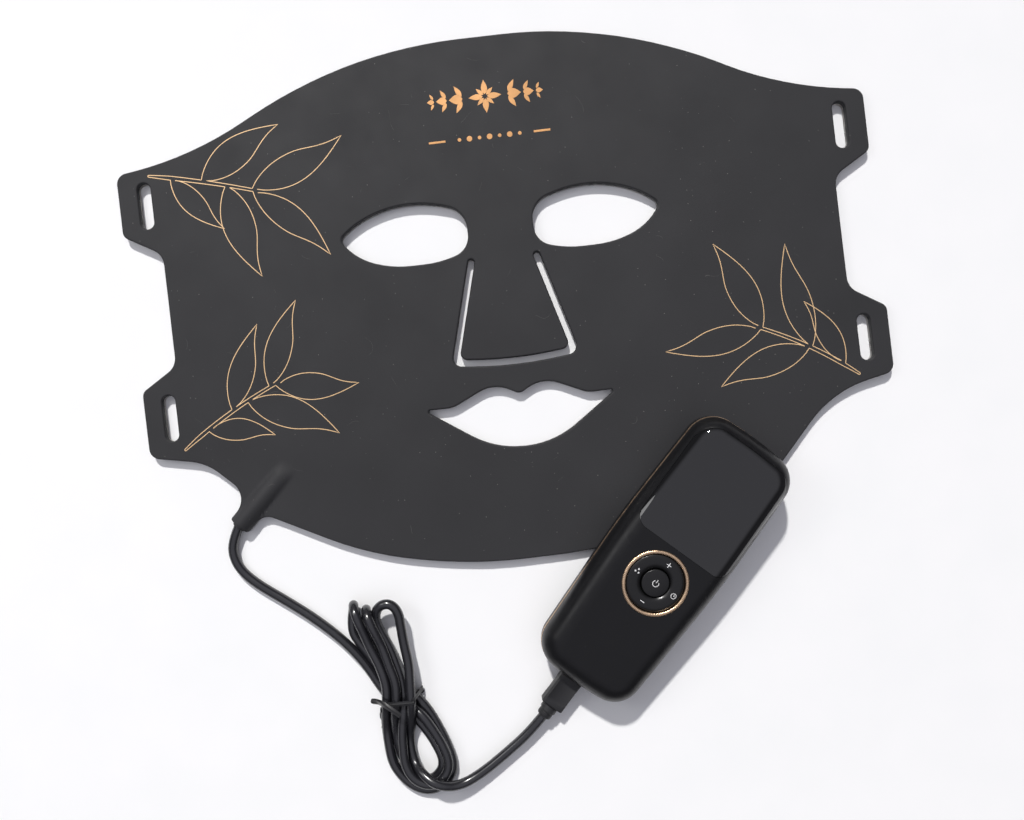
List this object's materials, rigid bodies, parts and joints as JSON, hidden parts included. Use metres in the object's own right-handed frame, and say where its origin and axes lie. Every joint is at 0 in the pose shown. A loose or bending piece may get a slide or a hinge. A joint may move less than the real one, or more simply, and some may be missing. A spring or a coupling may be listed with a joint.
{
  "type": "led face mask",
  "caption": "Flat flexible silicone light-therapy face mask with eye, nose and mouth openings, strap ears, corded hand controller with display and keys.",
  "frame": {"origin": "on the back (skin side) face of the mask sheet, midway between the eye openings, on the sheet's middle line", "axes": "+X to the right of the sheet seen from its front, +Y towards the forehead, +Z out of the front face, away from the skin"},
  "size_m": [0.342, 0.3427, 0.03],
  "materials": {
    "silicone_black": "matte",
    "silicone_clear": "satin",
    "flex_film": "satin",
    "led_body": "gloss",
    "ceramic": "satin",
    "board_green": "satin",
    "copper": "satin",
    "cord_jacket": "satin",
    "tie_plastic": "satin",
    "plug_plastic": "satin",
    "steel": "satin",
    "shell_black": "satin",
    "gold_trim": "satin",
    "lens_smoke": "gloss",
    "screen": "gloss",
    "key_black": "satin",
    "foil": "satin",
    "header_white": "satin"
  },
  "bodies": {
    "mask": {"front_cover": "silicone_black", "back_cover": "silicone_clear", "flex_circuit": "flex_film", "led_chips": "led_body", "chip_resistors": "ceramic", "terminal_board": "board_green", "lead_wires": "copper", "cable_boot": "silicone_black", "cord_stub": "cord_jacket", "cord_lead": "cord_jacket", "cord_hank": "cord_jacket", "cord_tail": "cord_jacket", "twist_tie": "tie_plastic", "plug_overmould": "plug_plastic", "plug_shell": "steel", "plug_contacts": "copper", "plug_relief": "plug_plastic", "plug_core": "cord_jacket"},
    "nose_flap": {"flap_front": "silicone_black", "flap_back": "silicone_clear", "flap_circuit": "flex_film", "flap_leds": "led_body"},
    "controller": {"upper_shell": "shell_black", "lower_shell": "shell_black", "side_trim": "gold_trim", "display_lens": "lens_smoke", "display_panel": "screen", "bezel_ring": "gold_trim", "main_board": "board_green", "key_switches": "ceramic", "board_chips": "ceramic", "battery": "foil", "battery_leads": "copper", "battery_header": "header_white", "charge_board": "board_green", "charge_leads": "copper", "usb_socket": "steel", "usb_tongue": "plug_plastic", "buzzer": "ceramic", "shell_screws": "steel"},
    "rocker_tilt": {"rocker_web": "silicone_clear"},
    "rocker": {"rocker_ring": "key_black"},
    "button": {"power_button": "key_black"}
  },
  "joints": [
    {"name": "flap_bend", "type": "hinge", "parent": "mask", "child": "nose_flap", "pos_m": [0, -0.01415, 0.0046], "axis": [-1, 0, 0], "range_deg": [0, 35], "stiffness_Nm_per_rad": 0.02},
    {"name": "unplug", "type": "slide", "parent": "mask", "child": "controller", "axis": [0.6774, 0.734, 0.0488], "range_m": [0, 0.012]},
    {"name": "rock_up_down", "type": "hinge", "parent": "controller", "child": "rocker_tilt", "pos_m": [0.04818, -0.16415, 0.02124], "axis": [0.7353, -0.6734, -0.0766], "range_deg": [-1.5, 1.5], "stiffness_Nm_per_rad": 0.2},
    {"name": "rock_left_right", "type": "hinge", "parent": "rocker_tilt", "child": "rocker", "pos_m": [0.0482, -0.16423, 0.02214], "axis": [0.6774, 0.734, 0.0488], "range_deg": [-1.5, 1.5], "stiffness_Nm_per_rad": 0.2},
    {"name": "power_press", "type": "slide", "parent": "controller", "child": "button", "axis": [-0.0234, 0.0878, -0.9959], "range_m": [0, 0.0004], "stiffness_N_per_m": 400}
  ]
}
